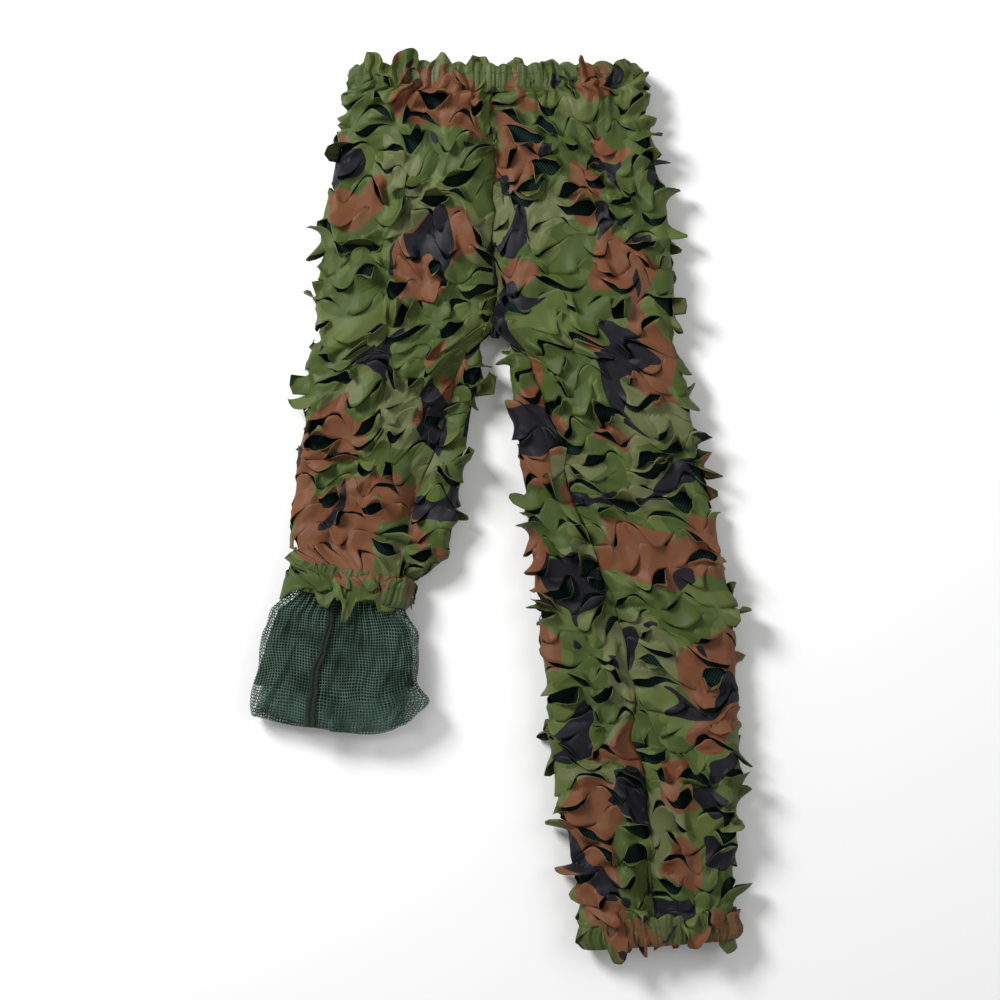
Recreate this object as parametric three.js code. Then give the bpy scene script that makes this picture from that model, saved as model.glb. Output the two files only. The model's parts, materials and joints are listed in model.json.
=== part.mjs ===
// Leafy camouflage trousers lying flat, front side up, with the end of one leg turned inside out over itself.
//
// Millimetres. +Y points to the waist, +Z up, and the trousers rest on z = 0. Left means -X, as seen from above.
// Every tube of cloth is made of flat pieces: a leaf shell and a mesh lining above and below the room
// for the wearer, closed at both sides by the fold of the same cloth. The cloth bends at the hips
// and knees, so each tube is divided there.
import * as THREE from 'three';

// Driving dimensions of the garment.
const WAIST_WIDTH = 334;
const HIP_WIDTH = 436;
const RISE = 318;
const CROTCH_CLEARANCE = 3;
const LEFT_THIGH_ANGLE = 8.5;
const LEFT_SHIN_ANGLE = 10;
const LEFT_KNEE_WIDTH = 200;
const LEFT_HEM_WIDTH = 136;
const LEFT_FOLD_WIDTH = 178;
const LEFT_CUFF_WIDTH = 208;
const LEFT_THIGH_LENGTH = 238;
const LEFT_SHIN_LENGTH = 222;
const LEFT_HEM_DROP = 38;
const HEM_ASIDE = 14;
const FOLD_ASIDE = 8;
const RIGHT_THIGH_ANGLE = 9;
const RIGHT_SHIN_ANGLE = 4;
const RIGHT_KNEE_WIDTH = 240;
const RIGHT_CALF_WIDTH = 228;
const RIGHT_HEM_WIDTH = 186;
const RIGHT_THIGH_LENGTH = 342;
const RIGHT_SHIN_LENGTH = 358;

// Driving dimensions of the cloth and its trimmings.
const SHELL_LOFT = 16;
const LINING = 2;
const ROOM = 12.8;
const FOLD_WIDTH = 12;
const SEAM_WIDTH = 7;
const SEAM_HEIGHT = 9;
const CASING_LENGTH = 30;
const CASING_THICKNESS = 8;
const CASING_WALL = 2.4;
const ELASTIC_LENGTH = 20;
const ELASTIC_THICKNESS = 2.4;
const CUFF_EDGE = 8;
const GAP = 0.3;

// Where the seam between the two edges of a leg's panel runs, measured from the middle of the leg.
const LEFT_SEAM = { top: 76, knee: 38, cuffTop: -18, cuffEnd: -24 };
const RIGHT_SEAM = { top: -80, knee: -20, calf: -6, hem: -4 };

// Heights of the layers, from the floor up.
const insideBottom = SHELL_LOFT + GAP;
const roomBottom = insideBottom + LINING;
const roomTop = roomBottom + ROOM;
const insideTop = roomTop + LINING;
const upperShell = insideTop + GAP;
const top = upperShell + SHELL_LOFT;
// The casing of the turned-up leg and the cuff below it are equally high and lie on the same shin.
const cuffShell = CASING_THICKNESS - LINING - GAP;
const shinLoft = SHELL_LOFT - CASING_THICKNESS - GAP;

const camo = { color: 0x5d7a3c, roughness: 0.6, metalness: 0 };
const brownCamo = { color: 0x7a5238, roughness: 0.6, metalness: 0 };
const mesh = { color: 0x2c5240, roughness: 0.85, metalness: 0 };
const tape = { color: 0x2f3f33, roughness: 0.8, metalness: 0 };
const rubber = { color: 0xd8d6cc, roughness: 0.9, metalness: 0 };

const trousers = new THREE.Group();

function add(name, geometry, look, parent = trousers) {
  const piece = new THREE.Mesh(geometry, new THREE.MeshStandardMaterial(look));
  piece.name = name;
  parent.add(piece);
  return piece;
}

// A station is a line across a tube of cloth: the line's middle, the tube's width there,
// how far the line is turned, and where the panel's seam crosses it.
function station(x, y, width, degrees = 0, seam = 0) {
  const turn = THREE.MathUtils.degToRad(degrees);
  return { x, y, half: width / 2, turn, seam };
}

function pointAcross(line, across) {
  return new THREE.Vector2(line.x + across * Math.cos(line.turn), line.y + across * Math.sin(line.turn));
}

// A station further down a leg, in the direction that the leg takes from the station above.
function stationDown(above, degrees, distance, width, seam = 0, aside = 0) {
  const turn = THREE.MathUtils.degToRad(degrees);
  const x = above.x + distance * Math.sin(turn) + aside * Math.cos(turn);
  const y = above.y - distance * Math.cos(turn) + aside * Math.sin(turn);
  return station(x, y, width, degrees, seam);
}

// Moves a station along its leg, so that neighbouring pieces meet with a gap.
function shifted(line, distance) {
  const x = line.x + distance * Math.sin(line.turn);
  const y = line.y - distance * Math.cos(line.turn);
  return { ...line, x, y };
}

// A flat piece of cloth between two edges that are given as distances from the middle of each station.
function panel(name, look, stations, leftEdge, rightEdge, bottom, thickness, round = 0) {
  const left = stations.map((line) => pointAcross(line, leftEdge(line)));
  const right = stations.map((line) => pointAcross(line, rightEdge(line)));
  const outline = new THREE.Shape([...left, ...right.reverse()]);
  const geometry = new THREE.ExtrudeGeometry(outline, {
    depth: thickness - 2 * round,
    bevelEnabled: round > 0,
    bevelThickness: round,
    bevelSize: round,
    bevelOffset: -round,
    bevelSegments: 3,
  });
  geometry.translate(0, 0, bottom + round);
  return add(name, geometry, look);
}

const outerLeft = (line) => -line.half;
const outerRight = (line) => line.half;
const foldLeft = (line) => -line.half + FOLD_WIDTH;
const foldRight = (line) => line.half - FOLD_WIDTH;
const liningLeft = (line) => foldLeft(line) + GAP;
const liningRight = (line) => foldRight(line) - GAP;
const seamLeft = (line) => line.seam - SEAM_WIDTH / 2;
const seamRight = (line) => line.seam + SEAM_WIDTH / 2;
const beforeSeam = (line) => seamLeft(line) - GAP;
const afterSeam = (line) => seamRight(line) + GAP;

// The mesh lining above and below the room, and the folds that close the tube at its sides.
function insideOfTube(prefix, stations) {
  panel(`${prefix}_lining_back`, mesh, stations, liningLeft, liningRight, insideBottom, LINING);
  panel(`${prefix}_lining_front`, mesh, stations, liningLeft, liningRight, roomTop, LINING);
  const foldHeight = insideTop - insideBottom;
  panel(`${prefix}_fold_left`, camo, stations, outerLeft, foldLeft, insideBottom, foldHeight, 3);
  panel(`${prefix}_fold_right`, camo, stations, foldRight, outerRight, insideBottom, foldHeight, 3);
}

// A leg's tube with its leaf shell: the upper shell is divided by the seam, which sits in the valley.
function legTube(prefix, stations) {
  insideOfTube(prefix, stations);
  panel(`${prefix}_shell_back`, camo, stations, outerLeft, outerRight, 0, SHELL_LOFT, 3);
  panel(`${prefix}_shell_left`, camo, stations, outerLeft, beforeSeam, upperShell, SHELL_LOFT, 3);
  panel(`${prefix}_shell_right`, brownCamo, stations, afterSeam, outerRight, upperShell, SHELL_LOFT, 3);
  panel(`${prefix}_seam`, tape, stations, seamLeft, seamRight, upperShell, SEAM_HEIGHT, 1);
}

// A flat sleeve of hem cloth, open at both ends, which the elastic runs through.
function casing(name, line, width, bottom) {
  const outside = new THREE.Shape();
  outside.moveTo(0, bottom);
  outside.lineTo(0, bottom + CASING_THICKNESS);
  outside.lineTo(-CASING_LENGTH, bottom + CASING_THICKNESS);
  outside.lineTo(-CASING_LENGTH, bottom);
  const channel = new THREE.Path();
  channel.moveTo(-CASING_WALL, bottom + CASING_WALL);
  channel.lineTo(-CASING_LENGTH + CASING_WALL, bottom + CASING_WALL);
  channel.lineTo(-CASING_LENGTH + CASING_WALL, bottom + CASING_THICKNESS - CASING_WALL);
  channel.lineTo(-CASING_WALL, bottom + CASING_THICKNESS - CASING_WALL);
  outside.holes.push(channel);
  const geometry = new THREE.ExtrudeGeometry(outside, { depth: width, bevelEnabled: false });
  const across = new THREE.Matrix4();
  across.makeBasis(new THREE.Vector3(0, 1, 0), new THREE.Vector3(0, 0, 1), new THREE.Vector3(1, 0, 0));
  geometry.applyMatrix4(across);
  geometry.translate(-width / 2, 0, 0);
  const piece = add(name, geometry, camo);
  piece.position.set(line.x, line.y, 0);
  piece.rotation.z = line.turn;
}

function roundedRectangle(Outline, halfWidth, low, high, radius) {
  const outline = new Outline();
  outline.moveTo(-halfWidth + radius, low);
  outline.lineTo(halfWidth - radius, low);
  outline.absarc(halfWidth - radius, low + radius, radius, -Math.PI / 2, 0);
  outline.absarc(halfWidth - radius, high - radius, radius, 0, Math.PI / 2);
  outline.absarc(-halfWidth + radius, high - radius, radius, Math.PI / 2, Math.PI);
  outline.absarc(-halfWidth + radius, low + radius, radius, Math.PI, 1.5 * Math.PI);
  return outline;
}

// The closed loop of elastic that runs through the sleeves above and below the room.
function elastic(name, line, width, lowCasing, highCasing) {
  const channelSlack = (CASING_THICKNESS - ELASTIC_THICKNESS) / 2;
  const low = lowCasing + channelSlack;
  const high = highCasing + CASING_THICKNESS - channelSlack;
  const radius = ELASTIC_THICKNESS * 3;
  const loop = roundedRectangle(THREE.Shape, width / 2, low, high, radius);
  const inside = width / 2 - ELASTIC_THICKNESS;
  loop.holes.push(
    roundedRectangle(THREE.Path, inside, low + ELASTIC_THICKNESS, high - ELASTIC_THICKNESS, radius / 2));
  const geometry = new THREE.ExtrudeGeometry(loop, { depth: ELASTIC_LENGTH, bevelEnabled: false, curveSegments: 5 });
  const along = new THREE.Matrix4();
  along.makeBasis(new THREE.Vector3(1, 0, 0), new THREE.Vector3(0, 0, 1), new THREE.Vector3(0, -1, 0));
  geometry.applyMatrix4(along);
  geometry.translate(0, -(CASING_LENGTH - ELASTIC_LENGTH) / 2, 0);
  const piece = add(name, geometry, rubber);
  piece.position.set(line.x, line.y, 0);
  piece.rotation.z = line.turn;
}

// The sleeves stop short of the loop's turns at both sides.
const sleeveWidth = (width) => width - 4 * ELASTIC_THICKNESS;

// Each leg starts at the crotch, flush with the hips at its outer side. side is -1 for the left leg.
function legTop(side, seam) {
  const width = HIP_WIDTH / 2 - CROTCH_CLEARANCE;
  return station((side * (HIP_WIDTH - width)) / 2, -GAP, width, 0, seam);
}

function hips() {
  const waist = station(0, RISE, WAIST_WIDTH);
  const belowCasing = station(0, RISE - CASING_LENGTH - GAP, WAIST_WIDTH + 18);
  const middle = station(0, RISE * 0.45, HIP_WIDTH - 26);
  const crotch = station(0, GAP, HIP_WIDTH);
  const body = [belowCasing, middle, crotch];
  const lowCasing = insideBottom - GAP - CASING_THICKNESS;
  casing('waist_casing_back', waist, sleeveWidth(WAIST_WIDTH), lowCasing);
  casing('waist_casing_front', waist, sleeveWidth(WAIST_WIDTH), upperShell);
  elastic('waist_elastic', waist, WAIST_WIDTH, lowCasing, upperShell);
  insideOfTube('hip', body);
  panel('hip_shell_back_left', camo, body, outerLeft, beforeSeam, 0, SHELL_LOFT, 3);
  panel('hip_shell_back_right', brownCamo, body, afterSeam, outerRight, 0, SHELL_LOFT, 3);
  panel('hip_shell_front_left', camo, body, outerLeft, beforeSeam, upperShell, SHELL_LOFT, 3);
  panel('hip_shell_front_right', brownCamo, body, afterSeam, outerRight, upperShell, SHELL_LOFT, 3);
  panel('centre_seam_back', tape, body, seamLeft, seamRight, SHELL_LOFT - SEAM_HEIGHT, SEAM_HEIGHT, 1);
  panel('centre_seam_front', tape, body, seamLeft, seamRight, upperShell, SEAM_HEIGHT, 1);
}

// The cloth at the end of the turned-up leg, where the lining rolls from inside the leg to outside it.
function cuffEdge(name, line, bottom) {
  const radius = CUFF_EDGE * 0.6;
  const thickness = top - roomTop;
  const outline = new THREE.Shape();
  outline.moveTo(0, bottom);
  outline.lineTo(0, bottom + thickness);
  outline.lineTo(-CUFF_EDGE + radius, bottom + thickness);
  outline.absarc(-CUFF_EDGE + radius, bottom + thickness - radius, radius, Math.PI / 2, Math.PI);
  outline.absarc(-CUFF_EDGE + radius, bottom + radius, radius, Math.PI, 1.5 * Math.PI);
  const width = 2 * (line.half - FOLD_WIDTH);
  const geometry = new THREE.ExtrudeGeometry(outline, { depth: width, bevelEnabled: false, curveSegments: 4 });
  const across = new THREE.Matrix4();
  across.makeBasis(new THREE.Vector3(0, 1, 0), new THREE.Vector3(0, 0, 1), new THREE.Vector3(1, 0, 0));
  geometry.applyMatrix4(across);
  geometry.translate(-width / 2, 0, 0);
  const piece = add(name, geometry, mesh);
  piece.position.set(line.x, line.y, 0);
  piece.rotation.z = line.turn;
}

// The leg end inside the cuff, thinner because the cuff presses on it, and the turned-up cuff around it.
function turnedUpLeg(knee, hem, fold) {
  const squeezed = { ...hem, half: hem.half - 2 * ELASTIC_THICKNESS };
  const belowHem = shifted(squeezed, CASING_LENGTH);
  const shin = [knee, squeezed, belowHem, fold];
  insideOfTube('left_shin', shin);
  const shinBottom = SHELL_LOFT - shinLoft;
  panel('left_shin_shell_back', camo, shin, outerLeft, outerRight, shinBottom, shinLoft, 2);
  panel('left_shin_shell_front', camo, shin, outerLeft, outerRight, upperShell, shinLoft, 2);

  const highCasing = top - CASING_THICKNESS;
  casing('left_ankle_casing_back', hem, sleeveWidth(2 * hem.half), 0);
  casing('left_ankle_casing_front', hem, sleeveWidth(2 * hem.half), highCasing);
  elastic('left_ankle_elastic', hem, 2 * hem.half, 0, highCasing);

  const cuffTop = { ...shifted(hem, CASING_LENGTH + GAP), half: hem.half + 8, seam: LEFT_SEAM.cuffTop };
  const cuffEnd = { ...fold, half: LEFT_CUFF_WIDTH / 2, seam: LEFT_SEAM.cuffEnd };
  const cuff = [cuffTop, cuffEnd];
  const lowShell = LINING + GAP;
  const highShell = upperShell + shinLoft + GAP;
  const highLining = highShell + cuffShell + GAP;
  panel('left_cuff_lining_back', mesh, cuff, outerLeft, outerRight, 0, LINING);
  panel('left_cuff_shell_back', camo, cuff, outerLeft, outerRight, lowShell, cuffShell, 1.5);
  panel('left_cuff_shell_front', camo, cuff, outerLeft, outerRight, highShell, cuffShell, 1.5);
  panel('left_cuff_lining_left', mesh, cuff, outerLeft, beforeSeam, highLining, LINING);
  panel('left_cuff_lining_right', mesh, cuff, afterSeam, outerRight, highLining, LINING);
  panel('left_cuff_seam', tape, cuff, seamLeft, seamRight, highLining, LINING);

  const sideBottom = lowShell + cuffShell + GAP;
  const sideHeight = highShell - GAP - sideBottom;
  const besideShin = [belowHem, fold].map((line) => line.half + GAP);
  const besideLeft = (line) => -besideShin[cuff.indexOf(line)];
  const besideRight = (line) => besideShin[cuff.indexOf(line)];
  panel('left_cuff_side_left', mesh, cuff, outerLeft, besideLeft, sideBottom, sideHeight, 1.5);
  panel('left_cuff_side_right', mesh, cuff, besideRight, outerRight, sideBottom, sideHeight, 1.5);

  const edge = shifted(cuffEnd, GAP);
  cuffEdge('left_cuff_edge_back', edge, 0);
  cuffEdge('left_cuff_edge_front', edge, roomTop);
}

function leftLeg() {
  const crotch = legTop(-1, LEFT_SEAM.top);
  const knee = stationDown(crotch, -LEFT_THIGH_ANGLE, LEFT_THIGH_LENGTH, LEFT_KNEE_WIDTH, LEFT_SEAM.knee);
  legTube('left_thigh', [crotch, shifted(knee, -GAP)]);
  const hem = stationDown(knee, -LEFT_SHIN_ANGLE, LEFT_HEM_DROP, LEFT_HEM_WIDTH, 0, -HEM_ASIDE);
  const foldDistance = LEFT_SHIN_LENGTH - CUFF_EDGE;
  const fold = stationDown(knee, -LEFT_SHIN_ANGLE, foldDistance, LEFT_FOLD_WIDTH, 0, -FOLD_ASIDE);
  turnedUpLeg(shifted(knee, GAP), hem, fold);
}

function rightLeg() {
  const crotch = legTop(1, RIGHT_SEAM.top);
  const knee = stationDown(crotch, RIGHT_THIGH_ANGLE, RIGHT_THIGH_LENGTH, RIGHT_KNEE_WIDTH, RIGHT_SEAM.knee);
  legTube('right_thigh', [crotch, shifted(knee, -GAP)]);
  const down = (distance, width, seam) => stationDown(knee, RIGHT_SHIN_ANGLE, distance, width, seam);
  const calf = down(RIGHT_SHIN_LENGTH / 2, RIGHT_CALF_WIDTH, RIGHT_SEAM.calf);
  const hem = down(RIGHT_SHIN_LENGTH - CASING_LENGTH, RIGHT_HEM_WIDTH, RIGHT_SEAM.hem);
  legTube('right_shin', [shifted(knee, GAP), calf, shifted(hem, -GAP)]);
  const lowCasing = insideBottom - GAP - CASING_THICKNESS;
  casing('right_ankle_casing_back', hem, sleeveWidth(RIGHT_HEM_WIDTH), lowCasing);
  casing('right_ankle_casing_front', hem, sleeveWidth(RIGHT_HEM_WIDTH), upperShell);
  elastic('right_ankle_elastic', hem, RIGHT_HEM_WIDTH, lowCasing, upperShell);
}

hips();
leftLeg();
rightLeg();

// The origin is on the floor under the middle of the trousers.
trousers.updateMatrixWorld(true);
const middle = new THREE.Box3().setFromObject(trousers).getCenter(new THREE.Vector3());
trousers.position.set(-middle.x, -middle.y, 0);

export default trousers;
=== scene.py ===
"""Leafy camouflage trousers lying flat on a pale floor, with the end of one leg turned inside out.

The leaf cloth is one thin printed cloth with rows of wavy cuts. Between the cuts it hangs together at small
bridges, and along them its flaps curl up. Left means -X. Every length is in metres.

A point of the cloth is given by s, its place across the flat cloth, and t, its distance down from the waist.
"""
import json
import math

import bpy
import bmesh
import numpy as np
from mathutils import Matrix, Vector


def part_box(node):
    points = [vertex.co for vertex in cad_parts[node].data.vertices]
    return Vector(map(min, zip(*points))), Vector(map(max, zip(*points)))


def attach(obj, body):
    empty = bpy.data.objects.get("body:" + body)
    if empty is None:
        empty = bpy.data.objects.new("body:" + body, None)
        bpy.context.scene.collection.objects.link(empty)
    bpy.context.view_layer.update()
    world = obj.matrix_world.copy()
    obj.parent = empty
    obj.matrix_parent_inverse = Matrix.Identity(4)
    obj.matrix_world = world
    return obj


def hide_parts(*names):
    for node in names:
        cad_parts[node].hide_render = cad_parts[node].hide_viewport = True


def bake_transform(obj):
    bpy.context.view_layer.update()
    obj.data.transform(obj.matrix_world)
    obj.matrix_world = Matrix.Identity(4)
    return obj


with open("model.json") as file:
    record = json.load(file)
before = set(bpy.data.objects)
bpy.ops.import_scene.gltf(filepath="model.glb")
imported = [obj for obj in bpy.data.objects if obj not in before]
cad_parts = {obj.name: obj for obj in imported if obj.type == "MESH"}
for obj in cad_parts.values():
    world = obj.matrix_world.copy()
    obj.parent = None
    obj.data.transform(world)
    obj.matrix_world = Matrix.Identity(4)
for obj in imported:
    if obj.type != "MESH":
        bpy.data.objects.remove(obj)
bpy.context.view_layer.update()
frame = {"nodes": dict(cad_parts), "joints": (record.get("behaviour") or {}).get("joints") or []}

# How the garment lies: its lowest and highest points, and the flat tube that the leaf cloth follows.
FLOOR_CLEAR = 0.0008
SIDE_INSET = 0.009
BACK_HEIGHT = 0.0075
FRONT_HEIGHT = 0.0365
HIGHEST = 0.0600
CROWN = 0.004
SEAM_VALLEY = 0.013
SEAM_VALLEY_WIDTH = 0.017

# How the leaf cloth is cut.
ROW = 0.0212
PERIOD = 0.062
CUT_DEPTH = 0.0104
BRIDGE = 0.0050
CLOTH_THICKNESS = 0.0005
COLUMN = 0.0029
SUB_ROWS = 8
PANEL_WIDTH = 0.50
LONGEST_PANEL = 52

# How the netting is knitted.
NET_PITCH = 0.0030
LINING_THICKNESS = 0.0006

# The hem sleeves, which the elastic runs through.
SLEEVE_LENGTH = 0.030
SLEEVE_THICKNESS = 0.0085
ELASTIC_LENGTH = 0.020
ELASTIC_THICKNESS = 0.0024

# Sewing.
STITCH_LENGTH = 0.0026
STITCH_GAP = 0.0016
STITCH_THICKNESS = 0.00042
STITCH_LIFT = 0.0052
TAPE_WIDTH = 0.007
TAPE_THICKNESS = 0.0007

# The turned-up cuff: its rolled edge, the netting drawn back inside and hidden in the hem, and how much
# earlier the leaf cloth inside it ends.
CUFF_ROLL = 0.012
CUFF_BACK = 0.05
CUFF_HEADING = 0.012
CUFF_CLOTH_SHORTER = 0.036


# ---------------------------------------------------------------- shapes taken from the frame

def points_of(mesh):
    """A mesh's vertices, as an array of x, y and z."""
    points = np.empty(len(mesh.vertices) * 3)
    mesh.vertices.foreach_get("co", points)
    return points.reshape(-1, 3)


def corner(name, x_way, y_way):
    """The point of a node that lies furthest in the direction (x_way, y_way), seen from above."""
    points = points_of(frame["nodes"][name].data)
    return points[np.argmax(points[:, 0] * x_way + points[:, 1] * y_way)]


def edges_of(name):
    """The two ends of each edge of a CAD node."""
    mesh = frame["nodes"][name].data
    edges = np.empty(len(mesh.edges) * 2, int)
    mesh.edges.foreach_get("vertices", edges)
    return points_of(mesh)[edges.reshape(-1, 2)]


def outline(names, heights):
    """Lowest and highest x of the nodes where the line y = height cuts their edges, for each height."""
    lows, highs = [], []
    edges = np.concatenate([edges_of(name) for name in names])
    start = edges[:, 0]
    end = edges[:, 1]
    for y in heights:
        crosses = (start[:, 1] - y) * (end[:, 1] - y) < 0
        a = start[crosses]
        b = end[crosses]
        x = a[:, 0] + (b[:, 0] - a[:, 0]) * (y - a[:, 1]) / (b[:, 1] - a[:, 1])
        lows.append(x.min())
        highs.append(x.max())
    return np.array(lows), np.array(highs)


WAIST_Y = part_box("waist_casing_front")[1][1]
HIP_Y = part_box("hip_lining_front")[0][1]
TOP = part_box("hip_shell_front_left")[1][2]
RISE = WAIST_Y - HIP_Y

# How far down from the waist the cloth of the hips goes over into that of the leg.
THIGH_JOIN = RISE + 0.12


class Rows:
    """Straight lines across a tube of cloth, one for each distance down it: their two ends and the seam."""

    def __init__(self, distance, left, right, seam=None):
        self.distance = distance
        self.left = left
        self.right = right
        self.seam = np.zeros(len(distance)) if seam is None else seam

    def at(self, t):
        """Middle, direction across, half width and seam place of the line at each distance t."""
        clamped = np.clip(t, self.distance[0], self.distance[-1])
        read = lambda values: np.interp(clamped, self.distance, values)
        xl, yl, xr, yr = [read(side[:, k]) for side in (self.left, self.right) for k in (0, 1)]
        half = np.hypot(xr - xl, yr - yl) / 2
        across = np.stack([(xr - xl) / (2 * half), (yr - yl) / (2 * half)], -1)
        middle = np.stack([(xl + xr) / 2, (yl + yr) / 2], -1)
        beyond = (t - clamped)[..., None]
        middle = middle + beyond * np.stack([across[..., 1], -across[..., 0]], -1)
        return middle, across, half, read(self.seam)


def hip_rows():
    """Level lines from the waist to the crotch."""
    heights = np.linspace(WAIST_Y - 0.002, HIP_Y + 0.002, 60)
    shells = ["hip_shell_back_left", "hip_shell_back_right", "waist_casing_back", "waist_elastic"]
    low, high = outline(shells, heights)
    left = np.stack([low, heights], -1)
    right = np.stack([high, heights], -1)
    return Rows(WAIST_Y - heights, left, right)


def leg_rows(shells, seams, last):
    """Lines from the crotch to the end of a leg, evenly spaced down each of its two sides."""
    fraction = np.linspace(0, 1, 80)
    sides = []
    for pick, way in enumerate((-1, 1)):
        end_y = corner(last, way, -1)[1] + 0.002
        heights = HIP_Y - 0.003 + (end_y - HIP_Y + 0.003) * fraction
        sides.append(np.stack([outline(shells, heights)[pick], heights], -1))
    left, right = sides
    middle = (left + right) / 2
    steps = np.hypot(*np.diff(middle, axis=0).T)
    distance = RISE + np.concatenate([[0], np.cumsum(steps)])
    heights = np.clip(middle[:, 1], *seam_range(seams))
    low, high = outline(seams, heights)
    return Rows(distance, left, right, (low + high) / 2 - middle[:, 0])


def seam_range(seams):
    """The lowest and highest y between which the seam nodes can be measured."""
    tops = [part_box(name)[1][1] for name in seams]
    bottoms = [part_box(name)[0][1] for name in seams]
    return min(bottoms) + 0.002, max(tops) - 0.002


def rows_of_node(name):
    """Lines between the left and right sides of a flat node, from its upper edge to its lower edge."""
    ends = [corner(name, way, up)[:2] for way in (-1, 1) for up in (1, -1)]
    fraction = np.linspace(0, 1, 40)[:, None]
    left = ends[0] * (1 - fraction) + ends[1] * fraction
    right = ends[2] * (1 - fraction) + ends[3] * fraction
    length = np.linalg.norm((left[0] + right[0] - left[-1] - right[-1]) / 2)
    return Rows(length * fraction[:, 0], left, right)


HIPS = hip_rows()
LEFT_SHELLS = ["left_thigh_shell_back", "left_shin_shell_back"]
RIGHT_SHELLS = ["right_thigh_shell_back", "right_shin_shell_back"]
RIGHT_SHELLS += ["right_ankle_casing_back", "right_ankle_elastic"]
LEGS = {
    "left": leg_rows(LEFT_SHELLS, ["left_thigh_seam"], "left_shin_shell_back"),
    "right": leg_rows(RIGHT_SHELLS, ["right_thigh_seam", "right_shin_seam"], "right_ankle_casing_back"),
}


def distance_at(rows, y):
    """The distance down a tube where its middle is at that y."""
    middle = (rows.left + rows.right) / 2
    return float(np.interp(-y, -middle[:, 1], rows.distance))


LEFT_HEM_PLACE = distance_at(LEGS["left"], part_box("left_ankle_casing_front")[1][1] - 0.011)


# ---------------------------------------------------------------- numbers that vary smoothly

def smooth(x):
    """3x^2 - 2x^3, which goes from 0 to 1 as x does, level at both ends."""
    x = np.clip(x, 0, 1)
    return x * x * (3 - 2 * x)


def power(value, exponent):
    """The value's size to that power, with its sign kept."""
    return np.sign(value) * np.abs(value) ** exponent


def lattice(x, y, seed):
    """Random values from -1 to 1 at the four whole coordinates round a point, and its place between them."""
    values = np.random.default_rng(seed).uniform(-1, 1, (64, 64))
    column = np.floor(x).astype(int)
    line = np.floor(y).astype(int)
    corners = [values[(line + b) % 64, (column + a) % 64] for b in (0, 1) for a in (0, 1)]
    return corners, x - column, y - line


def wobble(x, y, seed):
    """Smooth random numbers from -1 to 1 over the plane: lattice values, eased between whole coordinates."""
    (near, beside, above, far), fx, fy = lattice(x, y, seed)
    fx = smooth(fx)
    fy = smooth(fy)
    low = near * (1 - fx) + beside * fx
    high = above * (1 - fx) + far * fx
    return low * (1 - fy) + high * fy


def facets(x, y, seed):
    """Random numbers from -1 to 1 joined by flat triangles, like the heights of crumpled paper."""
    (near, beside, above, far), fx, fy = lattice(x, y, seed)
    lower = near + fx * (beside - near) + fy * (far - beside)
    upper = near + fy * (above - near) + fx * (far - above)
    return np.where(fx >= fy, lower, upper)


# ---------------------------------------------------------------- the tube that the cloth follows

def flat_tube(arc, half_width, half_height):
    """A flat tube's section, level above and below and half round at its sides.

    arc is the way round from the middle of the top, leftwards: level, half a circle, level below, half a
    circle, level. Returns the distance across and up from the middle, and the outward direction.
    """
    level = half_width - half_height
    turn = math.pi * half_height
    arc = np.mod(arc, 4 * level + 2 * turn)
    second = (arc - level) / half_height
    fourth = (arc - 3 * level - turn) / half_height
    zero = np.zeros_like(arc)
    one = zero + 1
    stretches = [arc < level, arc < level + turn, arc < 3 * level + turn, arc < 3 * level + 2 * turn]
    left_side = -level - half_height * np.sin(second)
    right_side = level + half_height * np.sin(fourth)
    across = np.select(
        stretches, [-arc, left_side, arc - 2 * level - turn, right_side], 4 * level + 2 * turn - arc)
    up = np.select(
        stretches,
        [half_height * one, half_height * np.cos(second), -half_height * one, -half_height * np.cos(fourth)],
        half_height * one)
    out_across = np.select(stretches, [zero, -np.sin(second), zero, np.sin(fourth)], zero)
    out_up = np.select(stretches, [one, np.cos(second), -one, -np.cos(fourth)], one)
    return across, up, out_across, out_up


class Tube:
    """A flat tube that follows rows: its lowest and highest z, how far it stays inside the rows' ends, and
    the depth of the valley along its seam."""

    def __init__(self, rows, low, high, inset, valley=0.0):
        self.rows = rows
        self.low = low
        self.high = high
        self.inset = inset
        self.valley = valley

    def place(self, arc_of, t, out):
        """Points on the flat tube's section, with a crown that falls as the square of the distance from the
        middle and a bell-shaped valley at the seam, lifted outwards by out."""
        middle, across, half, seam = self.rows.at(t)
        half = half - self.inset
        half_height = (self.high - self.low) / 2
        round_trip = 4 * (half - half_height) + 2 * math.pi * half_height
        side, up, out_side, out_up = flat_tube(arc_of(round_trip, seam), half, half_height)
        crown = CROWN * (1 - (side / half) ** 2) * (up > 0) * smooth(up / half_height)
        valley = self.valley * np.exp(-((side - seam) / SEAM_VALLEY_WIDTH) ** 2) * (up > 0)
        x = middle[..., 0] + across[..., 0] * (side + out * out_side)
        y = middle[..., 1] + across[..., 1] * (side + out * out_side)
        z = (self.high + self.low) / 2 + up + crown - valley + out * out_up
        return np.stack([x, y, z], -1)


def seam_sway(t):
    """How far the seams wander sideways at distance t."""
    return 0.006 * wobble(t / 0.055, 0 * t, 8) + 0.0035 * facets(t / 0.021, 0 * t, 9)


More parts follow.
